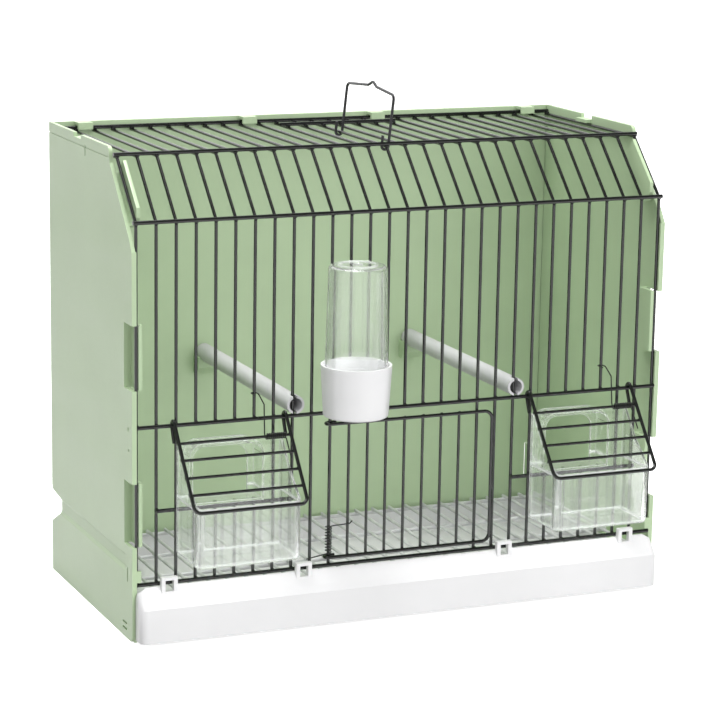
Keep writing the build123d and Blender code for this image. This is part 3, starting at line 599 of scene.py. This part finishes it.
class SHOWCAGE_OT_shell(bpy.types.Operator):
    """Gives the side panels, the back and the perch cradles their moulded green plastic"""

    bl_idname = "showcage.shell"
    bl_label = "Moulded shell"

    def execute(self, context):
        colours = context.scene.cage_colours
        shell = moulded("shell plastic", colours.shell, 0.42, grain=0.3)
        panels = ("left_side_panel", "right_side_panel", "back_panel")
        dress(shell, *panels, "left_perch_bracket", "right_perch_bracket")
        soften(context.scene.cage_sizes.edge_round, *panels)
        return {"FINISHED"}


class SHOWCAGE_OT_grille(bpy.types.Operator):
    """Enamels the bars and cross wires, and adds the fillets where they are welded"""

    bl_idname = "showcage.grille"
    bl_label = "Wire grille"

    def execute(self, context):
        enamel = enamelled("black enamel", context.scene.cage_colours.enamel)
        wires = [
            "bottom_cross_wire",
            "middle_cross_wire",
            "upper_bend_cross_wire",
            "top_bend_cross_wire",
            "rear_cross_wire",
            "roof_cross_wire",
            "left_sill_wire",
            "right_sill_wire",
        ]
        dress(enamel, "long_bars", "short_bars", "stub_bars", *wires)
        bars_low, bars_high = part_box("long_bars")
        bar_y = bars_low.y + BAR_RADIUS
        roof_z = bars_high.z - BAR_RADIUS
        along_wire = (1, 0, 0)
        crossings = {
            "bottom_cross_wire": [place for place in range(BAR_COUNT) if place not in DOOR_PLACES],
            "middle_cross_wire": range(BAR_COUNT),
            "left_sill_wire": range(1, 9),
            "right_sill_wire": range(20, 28),
        }
        spots = []
        for wire, places in crossings.items():
            z = middle_of(wire).z
            for place in places:
                spots.append(((bar_x(place), bar_y - BAR_RADIUS, z), (0, -1, 0), along_wire))
        roof_crossings = {"rear_cross_wire": range(BAR_COUNT), "roof_cross_wire": range(12, 19)}
        for wire, places in roof_crossings.items():
            y = middle_of(wire).y
            for place in places:
                spots.append(((bar_x(place), y, roof_z + BAR_RADIUS), (0, 0, 1), along_wire))
        bends = {
            "upper_bend_cross_wire": (0, -0.925, 0.38),
            "top_bend_cross_wire": (0, -0.38, 0.925),
        }
        for wire, outward in bends.items():
            outward = Vector(outward).normalized()
            contact = middle_of(wire) - outward * CROSS_RADIUS
            for place in range(BAR_COUNT):
                spots.append(((bar_x(place), contact.y, contact.z), outward, along_wire))
        size = context.scene.cage_sizes.weld_size
        new_piece("grille_weld_fillets", weld_fillets(spots, size), enamel, "cage")
        return {"FINISHED"}


class SHOWCAGE_OT_door(bpy.types.Operator):
    """Enamels the door and adds the fillets where its bars meet its frame"""

    bl_idname = "showcage.door"
    bl_label = "Door"

    def execute(self, context):
        enamel = bpy.data.materials["black enamel"]
        dress(enamel, "door")
        low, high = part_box("door")
        contact_y = low.y + 2 * FRAME_RADIUS
        spots = []
        for place in DOOR_PLACES:
            for z in (low.z + FRAME_RADIUS, high.z - FRAME_RADIUS):
                spots.append(((bar_x(place), contact_y, z), (0, -1, 0), (1, 0, 0)))
        size = context.scene.cage_sizes.weld_size * THIN_WELD
        new_piece("door_weld_fillets", weld_fillets(spots, size), enamel, "door")
        return {"FINISHED"}


class FlapPlaces:
    """Where one feeder flap lies: its hinge, its lean and the places along it, as in the CAD."""

    lean = math.radians(39.0)
    curl = 0.0027
    left_reach = 0.0340
    right_reaches = {"left": 0.0382, "right": 0.0388}
    bar_runs = (0.0128, 0.0241, 0.0359, 0.0472)
    bar_radius = 0.0009

    def __init__(self, side):
        first, last = {"left": (2, 7), "right": (21, 26)}[side]
        hinge = middle_of("middle_cross_wire")
        self.cross_y = hinge.y
        self.middle_z = hinge.z
        middle = (bar_x(first) + bar_x(last)) / 2
        self.left_x = middle - self.left_reach
        self.right_x = middle + self.right_reaches[side]
        self.hook_x = bar_x(last - 1)
        self.down = Vector((0, -math.sin(self.lean), -math.cos(self.lean)))
        self.out = Vector((0, -math.cos(self.lean), math.sin(self.lean)))
        self.bar_offset = self.curl - FRAME_RADIUS - self.bar_radius + WELD_DEPTH

    def point(self, x, run, offset):
        """A point of the flap: run along it from the hinge, offset outwards from the hinge's axis."""
        return Vector((x, self.cross_y, self.middle_z)) + self.down * run + self.out * offset


class SHOWCAGE_OT_flaps(bpy.types.Operator):
    """Enamels the feeder flaps and adds the fillets where their bars meet their frames"""

    bl_idname = "showcage.flaps"
    bl_label = "Feeder flaps"

    def execute(self, context):
        enamel = bpy.data.materials["black enamel"]
        for side in ("left", "right"):
            dress(enamel, f"{side}_flap")
            flap = FlapPlaces(side)
            spots = [
                (flap.point(x, run, flap.curl - FRAME_RADIUS), flap.out, flap.down)
                for run in flap.bar_runs
                for x in (flap.left_x, flap.right_x)
            ]
            size = context.scene.cage_sizes.weld_size * THIN_WELD
            new_piece(
                f"{side}_flap_weld_fillets", weld_fillets(spots, size), enamel, f"{side}_flap"
            )
        return {"FINISHED"}


class SHOWCAGE_OT_springs(bpy.types.Operator):
    """Winds the door's spring and the flaps' springs"""

    bl_idname = "showcage.springs"
    bl_label = "Springs"

    def execute(self, context):
        radius = context.scene.cage_sizes.spring_wire
        steel = drawn_steel("spring steel", (0.012, 0.013, 0.012), 0.42, 0.2, 0.3)
        self.door_spring(radius, steel)
        for side in ("left", "right"):
            self.flap_spring(side, radius, steel)
        return {"FINISHED"}

    def door_spring(self, radius, steel):
        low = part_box("door")[0]
        bar_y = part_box("long_bars")[0].y + BAR_RADIUS
        hinge_x = bar_x(HINGE_PLACE)
        door_low_z = low.z + FRAME_RADIUS
        coil_radius, pitch, turns = 0.00185, 0.0019, 9
        arm_lead, arm_bend = 0.0025, 0.0012
        across, up, along = Vector((1, 0, 0)), Vector((0, 1, 0)), Vector((0, 0, 1))
        centre = Vector((hinge_x, bar_y, door_low_z + 0.0028))
        swing = 360 * turns
        coil = coil_points(centre, across, up, along, coil_radius, pitch, swing)
        start_way = coil_heading(across, up, along, coil_radius, pitch, 0)
        end_way = coil_heading(across, up, along, coil_radius, pitch, swing)
        low_arm_y = bar_y - BAR_RADIUS - radius - WIRE_GAP
        high_arm_y = low.y + 2 * FRAME_RADIUS - WELD_DEPTH - radius - WIRE_GAP
        low_arm = [
            Vector((hinge_x - 0.015, low_arm_y, coil[0].z - 0.0025)),
            coil[0] - start_way * arm_lead,
            coil[0],
        ]
        high_arm = [
            coil[-1],
            coil[-1] + end_way * arm_lead,
            Vector((hinge_x + 0.0134, high_arm_y, coil[-1].z + 0.0008)),
            Vector((hinge_x + 0.015, high_arm_y, coil[-1].z + 0.0024)),
        ]
        route = rounded_run(low_arm, arm_bend)[:-1] + coil + rounded_run(high_arm, arm_bend)[1:]
        spring = new_piece("door_spring_wire", round_wire(route, radius), steel)
        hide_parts("door_spring")
        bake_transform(spring)

    def flap_spring(self, side, radius, steel):
        flap = FlapPlaces(side)
        bar_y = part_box("long_bars")[0].y + BAR_RADIUS
        coil_radius, pitch, turns = 0.0016, 0.0013, 10
        arm_lead, arm_bend, hook_bend = 0.002, 0.0012, 0.0016
        coil_end_x = flap.right_x - FRAME_RADIUS - radius - 0.0010
        centre = flap.point(coil_end_x - pitch * turns, flap.bar_runs[0], flap.bar_offset)
        knee = Vector((centre.x + 0.0012, flap.cross_y - 0.0017, flap.middle_z + 0.009))
        distance = math.hypot(knee.y - centre.y, knee.z - centre.z)
        arm_angle = math.atan2(knee.z - centre.z, knee.y - centre.y) + math.asin(coil_radius / distance)
        arm_up = Vector((0, math.cos(arm_angle), math.sin(arm_angle)))
        arm_front = Vector((0, -arm_up.z, arm_up.y))
        arm_turn = math.degrees(math.acos(-arm_up.dot(flap.down)))
        along = Vector((1, 0, 0))
        swing = 360 * turns + arm_turn
        coil = coil_points(centre, -arm_up, arm_front, along, coil_radius, pitch, swing)
        start_way = coil_heading(-arm_up, arm_front, along, coil_radius, pitch, 0)
        end_way = coil_heading(-arm_up, arm_front, along, coil_radius, pitch, swing)
        hook_z = flap.middle_z + 0.0155
        hook = 0.0017
        upper_arm = [
            Vector((flap.hook_x - hook, bar_y - 0.0055, hook_z)),
            Vector((flap.hook_x - hook, bar_y + hook, hook_z)),
            Vector((flap.hook_x + hook, bar_y + hook, hook_z)),
            Vector((flap.hook_x + hook, bar_y - 0.003, hook_z)),
            knee,
            coil[0] - start_way * arm_lead,
            coil[0],
        ]
        lower_knee = coil[-1] + end_way * arm_lead
        lower_arm = [coil[-1], lower_knee, lower_knee + flap.down * 0.014]
        bends = [hook_bend] * 2 + [arm_bend] * 3
        route = rounded_run(upper_arm, bends)[:-1] + coil + rounded_run(lower_arm, arm_bend)[1:]
        spring = new_piece(f"{side}_flap_spring_wire", round_wire(route, radius), steel)
        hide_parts(f"{side}_flap_spring")
        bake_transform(spring)


class SHOWCAGE_OT_feeders(bpy.types.Operator):
    """Gives the feeders their clear moulded plastic, with painted white highlights at their corners,
    base edge and lip, and soft edges
    """

    bl_idname = "showcage.feeders"
    bl_label = "Feeders"

    def execute(self, context):
        lip_height = 0.0373
        base_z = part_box("left_feeder")[0].z
        # Heights of the base edge and the lip, where the feeders' painted highlight runs, and how far
        # it reaches
        base_rim_highlight = (base_z + 0.0008, 0.0028)
        lip_rim_highlight = (base_z + lip_height - 0.0006, 0.0014)
        tint = context.scene.cage_colours.clear
        clear = clear_plastic("clear feeder plastic", tint, (base_rim_highlight, lip_rim_highlight))
        dress(clear, "left_feeder", "right_feeder")
        soften(context.scene.cage_sizes.edge_round, "left_feeder", "right_feeder")
        return {"FINISHED"}


class SHOWCAGE_OT_drinker(bpy.types.Operator):
    """Gives the drinker its white cup and clear tube"""

    bl_idname = "showcage.drinker"
    bl_label = "Drinker"

    def execute(self, context):
        colours = context.scene.cage_colours
        dress(moulded("white cup plastic", colours.drawer, 0.3, 0.12, 0.15), "drinker_cup")
        dress(clear_plastic("clear tube plastic", colours.clear), "drinker_tube")
        return {"FINISHED"}


class SHOWCAGE_OT_perches(bpy.types.Operator):
    """Gives the perch tubes their matt plastic"""

    bl_idname = "showcage.perches"
    bl_label = "Perches"

    def execute(self, context):
        colours = context.scene.cage_colours
        dress(moulded("perch plastic", colours.perch, 0.5, 0.5), "left_perch", "right_perch")
        return {"FINISHED"}


class SHOWCAGE_OT_floor_grid(bpy.types.Operator):
    """Galvanises the floor grid and adds the fillets where its rods are welded"""

    bl_idname = "showcage.floor_grid"
    bl_label = "Floor grid"

    def execute(self, context):
        zinc = drawn_steel("galvanised wire", (0.6, 0.605, 0.61), 0.5, 0.3, 0.3)
        dress(zinc, "floor_grid")
        low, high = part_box("floor_grid")
        depth = high.y - low.y
        rod_height, rod_sink = 0.002, 0.00007
        contact_z = high.z - rod_height + rod_sink
        spots = []
        for share in (0.05, 0.35, 0.65, 0.985):
            for place in range(BAR_COUNT - 1):
                spot = (bar_x(place + 0.5), low.y + share * depth, contact_z)
                spots.append((spot, (0, 0, 1), (0, 1, 0)))
        size = context.scene.cage_sizes.weld_size * 0.9
        new_piece("floor_grid_weld_fillets", weld_fillets(spots, size), zinc, "cage")
        return {"FINISHED"}


class SHOWCAGE_OT_drawer(bpy.types.Operator):
    """Gives the drawer its white moulded plastic"""

    bl_idname = "showcage.drawer"
    bl_label = "Drawer"

    def execute(self, context):
        colours = context.scene.cage_colours
        dress(moulded("white drawer plastic", colours.drawer, 0.32, 0.15, 0.1), "drawer")
        soften(context.scene.cage_sizes.edge_round * 1.5, "drawer")
        return {"FINISHED"}


class SHOWCAGE_OT_handle(bpy.types.Operator):
    """Gives the wire handle its dark steel"""

    bl_idname = "showcage.handle"
    bl_label = "Handle"

    def execute(self, context):
        dress(drawn_steel("dark handle steel", (0.035, 0.035, 0.037), 0.3, 0.15, 0.6), "handle")
        return {"FINISHED"}


class SHOWCAGE_OT_stage(bpy.types.Operator):
    """Sets up the pale floor, the white room, the soft lights and the camera"""

    bl_idname = "showcage.stage"
    bl_label = "Studio"

    def execute(self, context):
        studio = context.scene.cage_studio
        self.sweep(studio)
        key = self.light("key light", (0.8, -2.25, 0.6), (0.0, 0.1, 0.15), 2.8, studio.key_power)
        key.visible_glossy = False
        self.light("fill light", (-1.9, -1.3, 1.0), (0.0, 0.0, 0.15), 2.4, studio.fill_power)
        self.light("top light", (-0.2, 0.25, 1.9), (0.0, 0.0, 0.1), 1.0, studio.top_power)
        context.scene.world = self.room(studio)
        context.scene.view_settings.view_transform = "Standard"
        self.camera(context, studio)
        return {"FINISHED"}

    def room(self, studio):
        """The white room: it lights the cage softly, and looks white wherever the backdrop ends."""
        world = bpy.data.worlds.new("white studio")
        world.use_nodes = True
        room = Nodework(world.node_tree)
        glow = room.tree.nodes["Background"]
        seen = room.value("ShaderNodeLightPath", output="Is Camera Ray")
        room.fill(glow.inputs["Color"], (1.0, 1.0, 1.0))
        room.fill(glow.inputs["Strength"], seen * (1.0 - studio.sky) + studio.sky)
        return world

    def sweep(self, studio):
        """A pale floor that curves up into a backdrop behind the cage."""
        finish = Finish("studio paper")
        grain = finish.noise(300.0, 3.0)
        finish.set(
            Base_Color=finish.blend(
                finish.between(grain, 0.0, 1.0), shade(studio.floor_colour, 0.995), studio.floor_colour
            ),
            Roughness=0.9,
            Emission_Color=(1.0, 1.0, 1.0, 1.0),
            Emission_Strength=0.66,
        )

        def make():
            made = bmesh.new()
            half_width, front_y, top_z = 4.5, -4.0, 3.0
            bend_y, bend_radius, bend_steps = 1.2, 0.8, 10
            profile = [(front_y, 0.0)]
            for step in range(bend_steps + 1):
                turn = math.pi / 2 * step / bend_steps
                rise = bend_radius * (1 - math.cos(turn))
                profile.append((bend_y + bend_radius * math.sin(turn), rise))
            profile.append((bend_y + bend_radius, top_z))
            left, right = (
                [made.verts.new((x, y, z)) for y, z in profile] for x in (-half_width, half_width)
            )
            for number in range(len(profile) - 1):
                made.faces.new((left[number], right[number], right[number + 1], left[number + 1]))
            return made

        paper = new_piece("studio_sweep", make, finish.material)
        paper.visible_diffuse = False

    def light(self, name, place, aim, size, power):
        lamp = bpy.data.lights.new(name, "AREA")
        lamp.shape = "SQUARE"
        lamp.size = size
        lamp.energy = power
        lamp_object = bpy.data.objects.new(name, lamp)
        bpy.context.scene.collection.objects.link(lamp_object)
        lamp_object.location = place
        lamp_object.rotation_euler = (Vector(aim) - Vector(place)).to_track_quat("-Z", "Y").to_euler()
        return lamp_object

    def camera(self, context, studio):
        """The camera, where the fit to the grille's crossings puts it."""
        stand = (-0.6596, -1.5046, 0.5085)
        yaw, pitch, roll = (math.radians(angle) for angle in (23.4996, -12.278, 0.9736))
        ahead = Vector(
            (math.sin(yaw) * math.cos(pitch), math.cos(yaw) * math.cos(pitch), math.sin(pitch))
        )
        level = Vector((math.cos(yaw), -math.sin(yaw), 0))
        upright = level.cross(ahead)
        right = level * math.cos(roll) + upright * math.sin(roll)
        up = upright * math.cos(roll) - level * math.sin(roll)
        lens = bpy.data.cameras.new("camera")
        lens.sensor_width = 36.0
        lens.lens = studio.lens
        camera = bpy.data.objects.new("camera", lens)
        context.scene.collection.objects.link(camera)
        turn = Matrix((right, up, -ahead)).transposed().to_4x4()
        camera.matrix_world = Matrix.Translation(stand) @ turn
        context.scene.camera = camera


OPERATORS = (
    SHOWCAGE_OT_shell,
    SHOWCAGE_OT_grille,
    SHOWCAGE_OT_door,
    SHOWCAGE_OT_flaps,
    SHOWCAGE_OT_springs,
    SHOWCAGE_OT_feeders,
    SHOWCAGE_OT_drinker,
    SHOWCAGE_OT_perches,
    SHOWCAGE_OT_floor_grid,
    SHOWCAGE_OT_drawer,
    SHOWCAGE_OT_handle,
    SHOWCAGE_OT_stage,
)


class SHOWCAGE_PT_panel(bpy.types.Panel):
    """The cage's pieces, one button each, with their sizes and colours"""

    bl_idname = "SHOWCAGE_PT_panel"
    bl_label = "Bird Show Cage"
    bl_space_type = "VIEW_3D"
    bl_region_type = "UI"
    bl_category = "Show Cage"

    def draw(self, context):
        for group in (context.scene.cage_colours, context.scene.cage_sizes, context.scene.cage_studio):
            box = self.layout.box()
            for name in group.__annotations__:
                box.prop(group, name)
        for operator in OPERATORS:
            self.layout.operator(operator.bl_idname)


SETTINGS = {"cage_colours": CageColours, "cage_sizes": CageSizes, "cage_studio": StudioSettings}


def register():
    for group in SETTINGS.values():
        bpy.utils.register_class(group)
    for made in (*OPERATORS, SHOWCAGE_PT_panel):
        bpy.utils.register_class(made)
    for name, group in SETTINGS.items():
        setattr(bpy.types.Scene, name, bpy.props.PointerProperty(type=group))


def unregister():
    for name in SETTINGS:
        delattr(bpy.types.Scene, name)
    for made in (SHOWCAGE_PT_panel, *reversed(OPERATORS)):
        bpy.utils.unregister_class(made)
    for group in reversed(list(SETTINGS.values())):
        bpy.utils.unregister_class(group)


def main():
    register()
    bpy.ops.showcage.shell()
    bpy.ops.showcage.grille()
    bpy.ops.showcage.door()
    bpy.ops.showcage.flaps()
    bpy.ops.showcage.springs()
    bpy.ops.showcage.feeders()
    bpy.ops.showcage.drinker()
    bpy.ops.showcage.perches()
    bpy.ops.showcage.floor_grid()
    bpy.ops.showcage.drawer()
    bpy.ops.showcage.handle()
    bpy.ops.showcage.stage()


if __name__ == "__main__":
    main()
